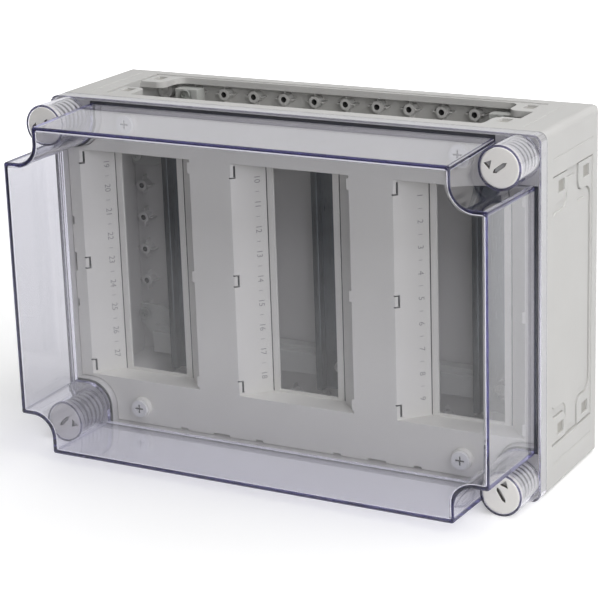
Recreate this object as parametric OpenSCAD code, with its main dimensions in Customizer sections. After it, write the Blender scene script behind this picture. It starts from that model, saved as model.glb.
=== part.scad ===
// Insulated circuit breaker enclosure with a transparent hood, three slots of nine modules.
// Millimetres. X is right, Y runs from the front to the wall, Z is up.
// Modules are drawn about the middle of the front view, with the seam between hood and base at Y = 0.
// placed() then stands the enclosure on Z = 0, with the middle of its depth at Y = 0.

/* [Enclosure] */
// Width of the enclosure
body_w = 375; // [340:1:410]
// Height of the enclosure
body_h = 250; // [230:1:275]
// Depth of the base, from the seam to the wall
base_d = 102; // [92:1:125]
// Depth of the hood, from the seam to its front face
hood_d = 73; // [60:1:90]
// Wall thickness of the base
wall = 3; // [2.5:0.1:3.5]
// Radius of the four long edges of the enclosure
edge_r = 6; // [4:0.5:8]
// Radius of the edges around the back of the base
back_r = 4; // [3:0.5:5]

/* [Seam] */
// Length of the hood skirt over the rim of the base
skirt_d = 9.2; // [6:0.1:11]
// Thickness of the hood skirt
skirt_t = 1.5; // [1.2:0.1:2]
// Thickness of the base rim under the hood wall
rim_t = 4.5; // [4:0.1:5]
// Depth of the thickened rim
rim_d = 14; // [12:0.5:16]
// Clearance between parts that come apart
fit_gap = 0.3; // [0.2:0.05:0.5]
// Width of the foam seal
seal_w = 3; // [2.4:0.1:3.2]
// Distance of the foam seal from the outside of the rim
seal_edge = 0.8; // [0.6:0.1:1]
// Height of the foam seal
seal_h = 2; // [1.5:0.1:2.5]
// Height that the seal stands above the rim
seal_lift = 0.5; // [0.3:0.1:0.8]

/* [Hood] */
// Wall thickness of the hood
hood_wall = 2.8; // [2.2:0.1:3.2]
// Thickness of the hood flange
flange_t = 2.5; // [2:0.1:3]
// Set-back of the hood wall from the outside of the skirt
hood_inset = 4.2; // [3.8:0.1:4.6]
// Draft of the hood wall over its depth
hood_draft = 2.3; // [1.5:0.1:3]
// Width of the corner notch
notch_w = 31.5; // [31:0.5:33]
// Height of the corner notch
notch_h = 33; // [32.5:0.5:34]
// Radius inside the corner notch
notch_r = 15; // [12:0.5:16]

/* [Cover screws] */
// Distance of a screw axis from the outside edges
screw_inset = 15; // [15:0.1:15.6]
// Outside diameter of a screw tube
tube_od = 29.8; // [29:0.1:30]
// Inside diameter of a screw tube
tube_bore = 26.8; // [26:0.1:27]
// Length of a screw tube in front of the seam
tube_l = 33.5; // [28:0.5:40]
// Radial clearance of a screw head in its tube
head_gap = 0.3; // [0.2:0.05:0.4]
// Thickness of a screw head
head_t = 5; // [4:0.5:6]
// Diameter of the screw barrel rings
ring_d = 24.6; // [23:0.2:25]
// Diameter of the screw barrel between its rings
barrel_d = 18.5; // [17:0.5:20]
// Number of rings on the barrel
ring_n = 5; // [4:1:7]
// Diameter of the screw shank
shank_d = 12; // [10:0.5:13]
// Radial clearance of the shank in its socket
shank_gap = 0.4; // [0.3:0.05:0.6]
// Length of the shank behind the seam
shank_l = 22; // [16:1:24]
// Depth of the socket in the base
socket_d = 28; // [26:1:30]
// Width of the driver slot
slot_w = 2.6; // [1.8:0.1:3]
// Length of the driver slot
slot_l = 11.6; // [9:0.2:14]
// Depth of the driver slot
slot_d = 3; // [2:0.1:3.5]

/* [Flange openings] */
// Distance of the openings from the outside corners
flange_in = 32; // [32:0.5:36]
// Distance of the openings from the seam
flange_front = 19; // [18:0.5:20]
// Distance of the openings from the back
flange_back = 14; // [14:0.5:17]
// Depth of the field around an opening
field_d = 0.8; // [0.5:0.1:1.2]
// Width of the field behind an opening
field_w = 2; // [1:0.1:2.2]
// Thickness of the collar around an opening
collar_t = 5.5; // [4.5:0.1:6]
// Length of the collar beyond the ends of an opening
collar_w = 5; // [3:0.5:5]
// Width of the collar in front of and behind an opening
collar_d = 3; // [2.8:0.1:3.4]
// Length of the rear corner pads
rear_pad_l = 20; // [18:0.5:24]
// Depth of the rear corner pads
rear_pad_d = 22; // [18:0.5:23]
// Length of the front corner pads
front_pad_l = 19; // [18:0.5:24]
// Depth of the front corner pads
front_pad_d = 26; // [22:0.5:27]
// Corner radius of the pads
pad_r = 7; // [4:0.5:8]
// Radius where a pad meets the edge of its opening
pad_fillet = 8; // [4:0.5:9]
// Length of a wedge pocket
pocket_l = 8; // [7:0.5:9]
// Width of a wedge pocket
pocket_w = 11; // [9:0.5:11.5]
// Depth of a wedge pocket
pocket_d = 2.4; // [2:0.1:3]
// Distance of a pocket from the end of its opening
pocket_in = 9; // [7:0.5:10]
// Distance of the front pockets from the front of an opening
pocket_front = 17; // [14:0.5:18]
// Distance of the rear pockets from the back of an opening
pocket_rear = 8; // [7:0.5:10]
// Width of the groove between a blank and its pads
channel_w = 6; // [4:0.1:6.5]
// Depth of the groove between a blank and its pads
channel_d = 1.9; // [1.6:0.1:2.4]
// Thickness of the blank flange behind the collar
blank_t = 2; // [1.5:0.1:2]
// Overlap of the blank behind the collar
blank_lap = 2.5; // [2:0.1:2.7]
// Distance of the scribed line from the end of an opening
line_out = 12; // [10:0.5:14]
// Width of the scribed line
line_w = 0.8; // [0.6:0.1:1.2]
// Depth of the scribed line
line_d = 0.3; // [0.2:0.1:0.6]
// Width of the groove at each end of a field
end_groove_w = 1; // [0.8:0.1:1.4]
// Depth of the groove at each end of a field
end_groove_d = 2; // [1.6:0.1:2.2]

/* [Back wall] */
// Pitch of the screw bosses
boss_pitch = 25; // [24:0.5:25]
// Distance of the boss rows from the outside
boss_in = 12.5; // [12.5:0.1:13]
// Height of a boss above the back wall
boss_h = 7.6; // [6:0.1:9]
// Diameter of a boss
boss_d = 8.5; // [7.5:0.1:9]
// Diameter of the pilot bore in a boss
boss_bore = 4.2; // [4.2:0.1:4.6]
// Length of a boss fin beyond the boss
fin_l = 3.2; // [2:0.1:3.5]
// Thickness of a boss fin
fin_t = 1.2; // [1:0.1:1.6]
// Height of the boss fins above the back wall
fin_h = 6; // [4:0.1:6]
// Diameter of the wall fixing holes
fix_d = 6.5; // [5:0.1:7]
// Diameter of the wall fixing domes
dome_d = 12; // [11:0.5:12]
// Height of the wall fixing domes
dome_h = 8; // [6:0.5:9]

/* [Front mask] */
// Thickness of the mask plate
mask_t = 2.5; // [2:0.1:3]
// Distance of the mask front from the seam
mask_y = 6.5; // [5:0.1:8]
// Width of the mask between two slots
slot_rib = 33; // [30:0.5:40]
// Width of one module
module_w = 18; // [17.5:0.1:18]
// Spare length of a slot beyond its modules
slot_spare = 4; // [2:0.5:4]
// Width of a slot opening
window_w = 46.5; // [45:0.1:48]
// Width of the flat frame beside an opening
frame_w = 5.8; // [4:0.1:6.5]
// Depth of a slot recess
recess_d = 19.5; // [15:0.5:22]
// Draft of the recess ends
recess_end = 2; // [1:0.1:2]
// Wall of the recess
recess_t = 1.8; // [1.5:0.1:1.8]
// Width of the groove between the flank and the flat frame of a recess
groove_w = 0.8; // [0.5:0.1:1.2]
// Depth of the groove beside the flat frame
groove_d = 0.8; // [0.5:0.1:1]
// Distance of a mask screw beyond the middle of its carrier leg
mask_screw_out = 3.3; // [3.2:0.1:5]
// Distance of a mask screw from the top or the bottom
mask_screw_in = 20; // [20:0.1:20.4]
// Height of the screw bosses on the mask
mask_boss_h = 4; // [3:0.1:4.5]
// Diameter of the screw bosses on the mask
mask_boss_d = 15; // [13.5:0.1:16]
// Diameter of a mask screw head
mask_head_d = 13; // [11:0.1:13.4]
// Height of a mask screw head
mask_head_t = 2; // [1.5:0.1:2]
// Diameter of a mask screw shank
mask_shank_d = 4; // [3.5:0.1:4.2]
// Length of the shank that enters a post
mask_shank_l = 12; // [8:1:20]
// Diameter of a mask post
post_d = 7; // [6.5:0.1:7]
// Radial clearance of a screw in its hole
hole_gap = 0.15; // [0.1:0.05:0.2]
// Length of a latch slit
latch_l = 9; // [7:0.5:11]
// Width of a latch slit
latch_w = 1; // [0.8:0.1:1.4]
// Length of the hooked end of a latch slit
latch_hook = 3; // [2:0.5:4]
// Distance of the latch slits from the edge of a recess
latch_in = 2; // [1.5:0.1:3]
// Depth of a latch slit
latch_d = 5.5; // [4:0.1:7]
// Length of the long cut-outs in the edge of the mask
cut_long = 14; // [10:0.5:18]
// Length of the short cut-outs in the edge of the mask
cut_short = 6; // [4:0.5:9]
// Depth of the cut-outs in the edge of the mask
cut_d = 1.6; // [1:0.1:2.2]
// Length of a latch tab
tab_l = 8; // [5:0.5:12]
// Width of a latch tab
tab_w = 2; // [1:0.1:3]
// Clearance between the mask and the rim
mask_gap = 0.5; // [0.4:0.05:0.8]

/* [Mounting frame] */
// Distance of the rail front from the back of the base
rail_stand = 32; // [30:0.5:36]
// Distance of a rail end from the top or the bottom
rail_in = 28; // [26:0.5:34]
// Width of a top hat rail
rail_w = 35; // [35:0.1:36]
// Height of a top hat rail
rail_h = 7.5; // [7.5:0.1:8]
// Width of the rail between its side walls, outside
rail_hat = 27; // [25:0.5:28]
// Sheet thickness of a rail
rail_t = 1; // [0.8:0.1:1.5]
// Length of the slot at each end of a rail
rail_slot_l = 15; // [12:0.5:18]
// Width of the slot at each end of a rail
rail_slot_w = 5.2; // [4.8:0.1:6.2]
// Distance of a carrier beam from the end of the rails
beam_set = 18; // [17:0.5:20]
// Height of a carrier beam section
beam_h = 20; // [18:0.5:20]
// Wall of a carrier
beam_t = 2.5; // [2:0.1:3]
// Set-back of the step along a beam
beam_step = 4; // [2:0.5:6]
// Distance of a beam end from the side
beam_end = 24.5; // [22:0.5:30]
// Thickness of a carrier foot
foot_t = 3; // [2.5:0.1:3]
// Width of a carrier foot around its screw
foot_w = 15; // [13:0.5:15]
// Width of a carrier leg
leg_w = 18.5; // [17:0.5:20]
// Thickness of a carrier leg
leg_t = 11.4; // [9:0.1:11.4]
// Diameter of a steel screw head
steel_head_d = 9; // [8:0.1:9]
// Height of a steel screw head
steel_head_t = 2.6; // [2:0.1:3]
// Diameter of a steel screw shank
steel_d = 4; // [3.5:0.1:4]
// Length of a steel screw in its boss
steel_l = 5; // [3:0.5:5]
// Depth of the cross recess in a screw head
cross_d = 1.2; // [0.8:0.1:1.4]
// Width of the cross recess in a screw head
cross_w = 1.2; // [0.8:0.1:1.6]
// Length of the cross recess, as a share of the head
cross_share = 0.5; // [0.4:0.05:0.6]

/* [Hidden] */
$fn = 64;
eps = 0.5;

half_w = body_w / 2;
half_h = body_h / 2;
far = body_w;

// Screw axis
axis_x = half_w - screw_inset;
axis_z = half_h - screw_inset;

// Angle of each driver slot, seen from the front
angle_tl = 60;
angle_tr = 37;
angle_bl = 224;
angle_br = -59;

// Rim of the base under the skirt
rim_x = half_w - skirt_t - fit_gap;
rim_z = half_h - skirt_t - fit_gap;
rim_front = fit_gap + seal_lift;

// Inside corners of the notch, at the hood wall, the rim and the column behind the rim
notch_x = half_w - notch_w;
notch_z = half_h - notch_h;
rim_notch_x = notch_x - rim_t;
rim_notch_z = notch_z - rim_t;
column_gap = 1;
flange_l = body_w - 2 * flange_in;
flange_s = body_h - 2 * flange_in;
column_x = flange_l / 2 + column_gap;
column_z = flange_s / 2 + column_gap;
pocket_y = socket_d + wall;

// Flange openings along the depth
flange_y1 = base_d - flange_back;
front_pocket_y = flange_front + pocket_front;
rear_pocket_y = flange_y1 - pocket_rear;
lip_lap = column_gap - fit_gap;

// Planes of the back wall
back_in = base_d - wall;
boss_y = back_in - boss_h;
boss_row_z = half_h - boss_in;
boss_col_x = half_w - boss_in;
row_n = floor((column_x - dome_d / 2) / boss_pitch);
col_n = floor(column_z / boss_pitch) - 1;
foot_z = (col_n + 1 / 2) * boss_pitch;
leg_x = (row_n - 1) * boss_pitch;
fix_x = row_n * boss_pitch;

// Front mask
mask_back = mask_y + mask_t;
mask_half_w = rim_x - rim_t - mask_gap;
mask_half_h = rim_z - rim_t - mask_gap;
slot_n = 3;
slot_pitch = body_w / slot_n;
recess_w = slot_pitch - slot_rib;
recess_room = 2 * (rim_notch_z - mask_gap - recess_t);
modules = floor((recess_room - 2 * recess_end - slot_spare) / module_w);
window_l = modules * module_w + slot_spare;
recess_l = window_l + 2 * recess_end;
mask_screw_x = leg_x + mask_screw_out;
mask_screw_z = half_h - mask_screw_in;
recess_y = mask_y + recess_d;
recess_floor_w = window_w + 2 * frame_w;
recess_back = recess_y + recess_t;

// Mounting frame
rail_y = base_d - rail_stand;
rail_back = rail_y + rail_h;
rail_l = body_h - 2 * rail_in;
beam_l = body_w - 2 * beam_end;
beam_z = rail_l / 2 - beam_set;
beam_in = beam_z - beam_h / 2;
beam_out = beam_z + beam_h / 2;
leg_front = boss_y - leg_t;
leg_rest = 0.2;
leg_end = boss_row_z + steel_head_d / 2 + leg_rest;
foot_front = boss_y - foot_t;
foot_out = half_w - collar_t - blank_t - fit_gap;

// A flat shape in X and Z, pushed through from y0 to y1.
module along_y(y0, y1) {
  translate([0, y1, 0]) rotate([90, 0, 0]) linear_extrude(y1 - y0) children();
}

// A flat shape in Y and Z, pushed through from x0 to x1.
module along_x(x0, x1) {
  translate([x0, 0, 0]) rotate([90, 0, 90]) linear_extrude(x1 - x0) children();
}

// A round bar or bore along Y.
module bar_y(d, y0, y1) {
  translate([0, y0, 0]) rotate([-90, 0, 0]) cylinder(d = d, h = y1 - y0);
}

// Copies in all four corners, mirrored.
module four_corners() {
  for (mx = [0, 1], mz = [0, 1]) mirror([mx, 0, 0]) mirror([0, 0, mz]) children();
}

module four_quarters() {
  for (mx = [0, 1], mz = [0, 1]) mirror([mx, 0]) mirror([0, mz]) children();
}

module round_rect(w, h, r) {
  square([w - 2 * r, h], center = true);
  square([w, h - 2 * r], center = true);
  four_quarters() translate([w / 2 - r, h / 2 - r]) circle(r);
}

// The corner beyond x and z, with a round inside corner.
module quarter(x, z, r) {
  translate([x + r, z]) square([far, far]);
  translate([x, z + r]) square([far, far]);
  translate([x + r, z + r]) circle(r);
}

module notched_rect(w, h, x, z, r) {
  difference() {
    square([w, h], center = true);
    four_quarters() quarter(x, z, r);
  }
}

// Base

module base_block() {
  intersection() {
    along_y(0, base_d) round_rect(body_w, body_h, edge_r);
    along_x(-half_w, half_w) back_profile(body_h);
    rotate([0, 90, 0]) along_x(-half_h, half_h) back_profile(body_w);
  }
}

// Side view of the block, with round edges at the back.
module back_profile(h) {
  translate([0, -h / 2]) square([base_d - back_r, h]);
  translate([0, back_r - h / 2]) square([base_d, h - 2 * back_r]);
  for (s = [-1, 1]) translate([base_d - back_r, s * (h / 2 - back_r)]) circle(back_r);
}

// Opening outline in a wall, along its length and the depth of the base.
// It is smaller by gap at its ends, pads and back, and by front_gap at its front and beside the front pads.
module flange_outline(l, gap, front_gap) {
  y0 = flange_front + front_gap;
  y1 = flange_y1 - gap;
  difference() {
    translate([-l / 2 + gap, y0]) square([l - 2 * gap, y1 - y0]);
    for (m = [0, 1]) mirror([m, 0]) {
      translate([l / 2 - front_pad_l - gap, y0]) corner_pad(front_pad_d);
      translate([l / 2 - rear_pad_l - gap, y1]) mirror([0, 1]) corner_pad(rear_pad_d);
    }
  }
}

// A pad from the origin outwards and d deep, with a round corner and a round root.
module corner_pad(d) {
  translate([pad_r, -eps]) square([far, d + eps]);
  translate([0, -eps]) square([far, d - pad_r + eps]);
  translate([pad_r, d - pad_r]) circle(pad_r);
  translate([-pad_fillet, -eps]) difference() {
    square([pad_fillet + eps, pad_fillet + eps]);
    translate([0, pad_fillet + eps]) circle(pad_fillet);
  }
}

module field_outline(l) {
  translate([-l / 2, flange_front]) square([l, flange_y1 + field_w - flange_front]);
}

module scribed_lines(l) { end_lines(l / 2 + line_out, line_w); }
module end_grooves(l) { end_lines((l - end_groove_w) / 2, end_groove_w); }

// Lines of width w across both ends of a field, at that distance from its middle.
module end_lines(out, w) {
  for (s = [-1, 1])
    translate([s * out - w / 2, flange_front]) square([w, flange_y1 + field_w - flange_front]);
}

module collar_outline(l) {
  translate([-l / 2 - collar_w, flange_front - collar_d])
    square([l + 2 * collar_w, flange_y1 - flange_front + 2 * collar_d]);
}

module pocket_outline(l) {
  for (s = [-1, 1], y = [front_pocket_y, rear_pocket_y])
    translate([s * (l / 2 - pocket_in), y]) square([pocket_l, pocket_w], center = true);
}

// A flat shape of one wall, set on the top, the bottom, the right or the left.
// It runs from t0 to t1 below the outside of that wall.
module on_top(t0, t1) { translate([0, 0, half_h - t1]) linear_extrude(t1 - t0) children(); }
module on_bottom(t0, t1) { mirror([0, 0, 1]) on_top(t0, t1) children(); }
module on_right(t0, t1) {
  rotate([0, 90, 0]) translate([0, 0, half_w - t1]) linear_extrude(t1 - t0) children();
}
module on_left(t0, t1) { mirror([1, 0, 0]) on_right(t0, t1) children(); }

module on_walls(t0, t1) {
  on_top(t0, t1) children(0);
  on_bottom(t0, t1) children(0);
  on_right(t0, t1) children(1);
  on_left(t0, t1) children(1);
}

module boss_places() {
  for (s = [-1, 1]) {
    for (i = [1 - row_n : row_n - 1]) translate([i * boss_pitch, s * boss_row_z]) children();
    for (j = [0 : col_n], t = [-1, 1])
      translate([s * boss_col_x, t * (j + 1 / 2) * boss_pitch]) children();
  }
}

module boss_fins() {
  square([boss_d + 2 * fin_l, fin_t], center = true);
  square([fin_t, boss_d + 2 * fin_l], center = true);
}

module base_body() {
  difference() {
    union() {
      difference() {
        base_block();
        base_cavity();
      }
      intersection() {
        base_block();
        on_walls(wall - eps, collar_t) {
          collar_outline(flange_l);
          collar_outline(flange_s);
        }
      }
      along_y(boss_y, back_in + eps) boss_places() circle(d = boss_d);
      along_y(back_in - fin_h, back_in + eps) boss_places() boss_fins();
      along_y(back_in - dome_h, back_in + eps)
        four_quarters() translate([fix_x, boss_row_z]) circle(d = dome_d);
    }
    on_walls(-eps, collar_t + eps) {
      flange_outline(flange_l, 0, 0);
      flange_outline(flange_s, 0, 0);
    }
    on_walls(-eps, field_d) {
      field_outline(flange_l);
      field_outline(flange_s);
    }
    on_walls(-eps, line_d) {
      scribed_lines(flange_l);
      scribed_lines(flange_s);
    }
    on_walls(-eps, end_groove_d) {
      end_grooves(flange_l);
      end_grooves(flange_s);
    }
    on_walls(-eps, pocket_d) {
      pocket_outline(flange_l);
      pocket_outline(flange_s);
    }
    along_y(boss_y - eps, back_in) boss_places() circle(d = boss_bore);
    along_y(back_in - dome_h - eps, base_d + eps)
      four_quarters() translate([fix_x, boss_row_z]) circle(d = fix_d);
  }
}

module base_cavity() {
  // Skirt land and front of the rim
  difference() {
    along_y(-eps, skirt_d + fit_gap) square([far, far], center = true);
    along_y(rim_front, skirt_d + fit_gap + eps)
      round_rect(2 * rim_x, 2 * rim_z, edge_r - skirt_t);
  }
  along_y(-eps, rim_d + eps)
    notched_rect(2 * (rim_x - rim_t), 2 * (rim_z - rim_t), rim_notch_x, rim_notch_z, notch_r + rim_t);
  along_y(rim_d, back_in)
    notched_rect(body_w - 2 * wall, body_h - 2 * wall, column_x, column_z, notch_r);
  // Seal groove
  along_y(-eps, rim_front + seal_h - seal_lift) seal_outline(hole_gap);
  // Screw sockets and the hollow backs of the corner columns
  four_corners() translate([axis_x, 0, axis_z])
    bar_y(shank_d + 2 * shank_gap, -eps, socket_d);
  along_y(pocket_y, base_d + eps) four_quarters() intersection() {
    quarter(column_x + wall, column_z + wall, notch_r - wall);
    square([half_w - wall, half_h - wall]);
  }
}

module base() { color("gainsboro") placed() base_body(); }

// Seal ring in the rim, wider by gap on each side.
module seal_outline(gap) {
  edge = seal_edge - gap;
  inner = seal_edge + seal_w + gap;
  difference() {
    notched_rect(2 * (rim_x - edge), 2 * (rim_z - edge), notch_x - edge, notch_z - edge, notch_r + edge);
    notched_rect(2 * (rim_x - inner), 2 * (rim_z - inner), notch_x - inner, notch_z - inner,
                 notch_r + inner);
  }
}

module hood_seal() {
  color("dimgray") placed() along_y(fit_gap, fit_gap + seal_h) seal_outline(0);
}

// Hood

// Drafted block from the flange to y0, set back by inset.
module hood_block(inset, y0) {
  slope = hood_draft / hood_d;
  intersection() {
    linear_extrude(far, center = true) hood_side(half_w - inset, slope, y0);
    rotate([0, 90, 0]) linear_extrude(far, center = true) hood_side(half_h - inset, slope, y0);
  }
}

module hood_side(a, slope, y0) {
  polygon([[-a, 0], [a, 0], [a + slope * y0, y0], [-a - slope * y0, y0]]);
}

module hood_body() {
  difference() {
    union() {
      difference() {
        hood_block(hood_inset, -hood_d);
        along_y(-hood_d - eps, eps) four_quarters() quarter(notch_x, notch_z, notch_r);
      }
      along_y(-flange_t, 0) round_rect(body_w, body_h, edge_r);
      along_y(-eps, skirt_d) difference() {
        round_rect(body_w, body_h, edge_r);
        round_rect(body_w - 2 * skirt_t, body_h - 2 * skirt_t, edge_r - skirt_t);
      }
      four_corners() translate([axis_x, 0, axis_z]) bar_y(tube_od, -tube_l, 0);
    }
    difference() {
      translate([0, eps, 0]) hood_block(hood_inset + hood_wall, -hood_d + hood_wall - eps);
      along_y(-hood_d, 2 * eps)
        four_quarters() quarter(notch_x - hood_wall, notch_z - hood_wall, notch_r + hood_wall);
    }
    four_corners() translate([axis_x, 0, axis_z]) {
      bar_y(tube_bore, -tube_l - eps, -flange_t);
      bar_y(shank_d + 2 * shank_gap, -flange_t - eps, eps);
    }
  }
}

module hood() { color("lightsteelblue", 0.4) placed() hood_body(); }

// Cover screws

head_set = 0.2;
screw_front = -tube_l + head_set;
barrel_y0 = screw_front + head_t;
barrel_y1 = -flange_t - fit_gap;
ring_pitch = (barrel_y1 - barrel_y0) / ring_n;
head_r = tube_bore / 2 - head_gap;
ring_share = 0.55;

// Section of ring i and of the barrel in front of it.
function ring_points(i) = let (y = barrel_y0 + i * ring_pitch) [
  [barrel_d / 2, y],
  [barrel_d / 2, y + ring_pitch * (1 - ring_share)],
  [ring_d / 2, y + ring_pitch * (1 - ring_share)],
  [ring_d / 2, y + ring_pitch],
];

// Half section of a screw, from the head to the tip of the shank.
module screw_section() {
  chamfer = 1;
  polygon(concat(
    [[0, screw_front], [head_r - chamfer / 2, screw_front], [head_r, screw_front + chamfer / 2],
     [head_r, barrel_y0]],
    [for (i = [0 : ring_n - 1]) each ring_points(i)],
    [[shank_d / 2, barrel_y1], [shank_d / 2, shank_l - chamfer], [shank_d / 2 - chamfer, shank_l],
     [0, shank_l]]));
}

module driver_slot() {
  tip = 2;
  pointer_l = 4.6;
  pointer_w = 6;
  pointer_turn = 130;
  pointer_r = 8.8;
  square([slot_l - 2 * tip, slot_w], center = true);
  for (s = [-1, 1])
    polygon([[s * (slot_l / 2 - tip), slot_w / 2], [s * slot_l / 2, 0],
             [s * (slot_l / 2 - tip), -slot_w / 2]]);
  rotate(pointer_turn) translate([pointer_r, 0])
    polygon([[pointer_l / 2, 0], [-pointer_l / 2, pointer_w / 2], [-pointer_l / 2, -pointer_w / 2]]);
}

module cover_screw(sx, sz, angle) {
  color("whitesmoke") placed() translate([sx * axis_x, 0, sz * axis_z]) difference() {
    rotate([-90, 0, 0]) rotate_extrude() screw_section();
    along_y(screw_front - eps, screw_front + slot_d) rotate(angle) driver_slot();
  }
}

module cover_screw_tl() { cover_screw(-1, 1, angle_tl); }
module cover_screw_tr() { cover_screw(1, 1, angle_tr); }
module cover_screw_bl() { cover_screw(-1, -1, angle_bl); }
module cover_screw_br() { cover_screw(1, -1, angle_br); }

// Front mask

module slot_places() {
  for (i = [-1 : 1]) translate([i * slot_pitch, 0, 0]) children();
}

// Half width of a recess at depth y.
function recess_half(y) = recess_w / 2 - (recess_w - recess_floor_w) / 2 * (y - mask_y) / recess_d;

// Section of a recess in X and Y from y0 on, wider by t.
module recess_section(t, y0) {
  polygon([[-recess_half(y0) - t, y0], [-recess_floor_w / 2 - t, recess_y + t],
           [recess_floor_w / 2 + t, recess_y + t], [recess_half(y0) + t, y0]]);
}

module recess_prism(t, y0) {
  linear_extrude(recess_l + 2 * t, center = true) recess_section(t, y0);
}

// Grooves in the floor of a recess, along its flanks.
module recess_grooves() {
  for (s = [-1, 1]) translate([s * (recess_floor_w - groove_w) / 2, 0])
    square([groove_w, recess_l], center = true);
}

module mask_screw_places() {
  four_corners() translate([mask_screw_x, 0, mask_screw_z]) children();
}

// Hooked slit at the left edge of a recess.
module latch_slit() {
  translate([-latch_w / 2, -latch_l / 2]) square([latch_w, latch_l]);
  translate([-latch_hook, latch_l / 2 - latch_w]) square([latch_hook, latch_w]);
}

// The upper slit is hooked at its lower end, the lower one at its upper end, the middle one at both.
function hooked_ends(s) = s > 0 ? [1] : s < 0 ? [0] : [0, 1];

module latch_slits() {
  for (s = [-1 : 1]) translate([latch_in - recess_w / 2, s * ((recess_l - latch_l) / 2 - latch_in)])
    for (m = hooked_ends(s)) mirror([0, m]) latch_slit();
}

// Tabs at the right edge of a recess, opposite the slits.
module latch_tabs() {
  for (s = [-1 : 1])
    translate([recess_w / 2 - tab_w, s * ((recess_l - tab_l) / 2 - latch_in) - tab_l / 2])
      square([tab_w + eps, tab_l]);
}

// A long cut-out between two short ones.
function cut_length(k) = k == 0 ? cut_long : cut_short;

// Short and long cut-outs in the edge of the mask.
module edge_cuts() {
  step = slot_pitch / 4;
  for (m = [0, 1]) mirror([0, m]) for (s = [-1, 1], k = [-1 : 1])
    translate([s * slot_pitch / 2 + k * step, -mask_half_h])
      square([cut_length(k), 2 * cut_d], center = true);
  for (s = [-1, 1], k = [-1 : 1]) translate([s * mask_half_w, k * step])
    square([2 * cut_d, cut_length(k)], center = true);
}

module front_mask_body() {
  difference() {
    union() {
      along_y(mask_y, mask_back) difference() {
        notched_rect(2 * mask_half_w, 2 * mask_half_h, rim_notch_x - mask_gap, rim_notch_z - mask_gap,
                     notch_r + rim_t + mask_gap);
        edge_cuts();
      }
      slot_places() recess_prism(recess_t, mask_y);
      mask_screw_places() bar_y(mask_boss_d, mask_y - mask_boss_h, mask_back);
    }
    slot_places() {
      recess_prism(0, mask_y - eps);
      along_y(recess_y - eps, recess_back + eps) square([window_w, window_l], center = true);
      along_y(recess_y - eps, recess_y + groove_d) recess_grooves();
      along_y(mask_y - eps, mask_y + latch_d) latch_slits();
    }
    mask_screw_places() bar_y(mask_shank_d + 2 * hole_gap, mask_y - mask_boss_h - eps, mask_back + eps);
  }
  slot_places() along_y(mask_y, mask_back) latch_tabs();
}

module front_mask() { color("silver") placed() front_mask_body(); }

// Cross recess in a screw head of diameter d, whose face lies at y.
module cross_recess(y, d) {
  along_y(y - eps, y + cross_d) {
    square([d * cross_share, cross_w], center = true);
    square([cross_w, d * cross_share], center = true);
  }
}

module mask_screws() {
  seat = mask_y - mask_boss_h;
  color("white") placed() mask_screw_places() difference() {
    union() {
      bar_y(mask_head_d, seat - mask_head_t, seat);
      bar_y(mask_shank_d, seat - eps, mask_back + mask_shank_l);
    }
    cross_recess(seat - mask_head_t, mask_head_d);
  }
}

module mask_posts() {
  bore_spare = 3;
  color("lightgray") placed() mask_screw_places() difference() {
    bar_y(post_d, mask_back, leg_front);
    bar_y(mask_shank_d + 2 * hole_gap, mask_back - eps, mask_back + mask_shank_l + bore_spare);
  }
}

// Rails and their carriers

module rail_section() {
  translate([-rail_hat / 2, rail_y]) square([rail_t, rail_h]);
  translate([rail_hat / 2 - rail_t, rail_y]) square([rail_t, rail_h]);
  translate([-rail_hat / 2, rail_back - rail_t]) square([rail_hat, rail_t]);
  for (x = [-rail_w / 2, rail_hat / 2 - rail_t])
    translate([x, rail_y]) square([(rail_w - rail_hat) / 2 + rail_t, rail_t]);
}

module rail_slot() {
  straight = rail_slot_l - rail_slot_w;
  square([rail_slot_w, straight], center = true);
  for (s = [-1, 1]) translate([0, s * straight / 2]) circle(d = rail_slot_w);
}

module rail(i) {
  color("lightsteelblue") placed() translate([i * slot_pitch, 0, 0]) difference() {
    linear_extrude(rail_l, center = true) rail_section();
    along_y(rail_back - rail_t - eps, rail_back + eps)
      for (s = [-1, 1]) translate([0, s * beam_z]) rail_slot();
  }
}

module rail_left() { rail(-1); }
module rail_middle() { rail(0); }
module rail_right() { rail(1); }

// Channel of a carrier in Y and Z, with a step along its inner side.
module beam_section() {
  difference() {
    union() {
      translate([rail_back, beam_in + beam_step]) square([boss_y - rail_back, beam_h - beam_step]);
      translate([rail_back + beam_step, beam_in]) square([boss_y - rail_back - beam_step, beam_h]);
    }
    translate([rail_back + beam_step + beam_t, beam_in + beam_t])
      square([boss_y, beam_h - 2 * beam_t]);
  }
}

// Foot plate from the end of the beam to its boss.
module foot_outline() {
  top = foot_z - foot_w / 2;
  difference() {
    polygon([[beam_l / 2 - foot_w, beam_out], [beam_l / 2, beam_out], [foot_out, foot_z + foot_w / 2],
             [foot_out, top], [boss_col_x - foot_w, top], [beam_l / 2 - 2 * foot_w, beam_in]]);
    translate([boss_col_x, foot_z]) circle(d = steel_d + 2 * hole_gap);
  }
}

module leg_outline() {
  difference() {
    translate([leg_x - leg_w / 2, beam_out - eps]) square([leg_w, leg_end - beam_out + eps]);
    translate([leg_x, boss_row_z]) circle(d = steel_d + 2 * hole_gap);
  }
}

module carrier() {
  color("darkgray") difference() {
    union() {
      along_x(-beam_l / 2, beam_l / 2) beam_section();
      for (m = [0, 1]) mirror([m, 0, 0]) {
        along_y(foot_front, boss_y) foot_outline();
        along_y(leg_front, boss_y) leg_outline();
      }
    }
    slot_places() translate([0, 0, beam_z]) bar_y(steel_d + 2 * hole_gap, rail_back - eps, boss_y - beam_t);
  }
}

module carrier_upper() { placed() carrier(); }
module carrier_lower() { placed() mirror([0, 0, 1]) carrier(); }

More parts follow.
